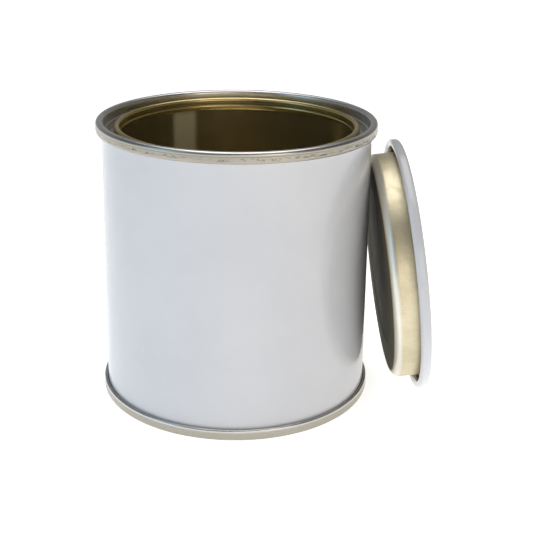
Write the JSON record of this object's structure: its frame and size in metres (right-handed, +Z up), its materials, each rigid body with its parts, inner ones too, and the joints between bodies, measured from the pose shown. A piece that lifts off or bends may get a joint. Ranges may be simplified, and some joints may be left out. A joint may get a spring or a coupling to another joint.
{
  "type": "paint can",
  "caption": "Small round lever-lid tin for paint, open, with a seamed body, a mouth ring, a countersunk bottom and a loose plug lid leaning on its side.",
  "frame": {"origin": "on the table under the centre of the box that holds the can and the leaning lid", "axes": "+Z up along the can's axis, +X from the can towards the leaning lid, +Y towards the back"},
  "size_m": [0.0912, 0.0762, 0.077],
  "materials": {
    "white_coating": "gloss",
    "tinplate": "semi-bright",
    "gold_lacquer": "semi-gloss",
    "seam_compound": "matt"
  },
  "bodies": {
    "can": {"body_shell": "white_coating", "top_ring": "tinplate", "bottom_end": "tinplate", "top_seam_compound": "seam_compound", "bottom_seam_compound": "seam_compound"},
    "lid": {"lid": "gold_lacquer"}
  },
  "joints": [
    {"name": "lid_tip", "type": "hinge", "parent": "can", "child": "lid", "pos_m": [0.04465, 0.0006, 0.00109], "axis": [0, 1, 0], "range_deg": [0, 96.5]}
  ]
}
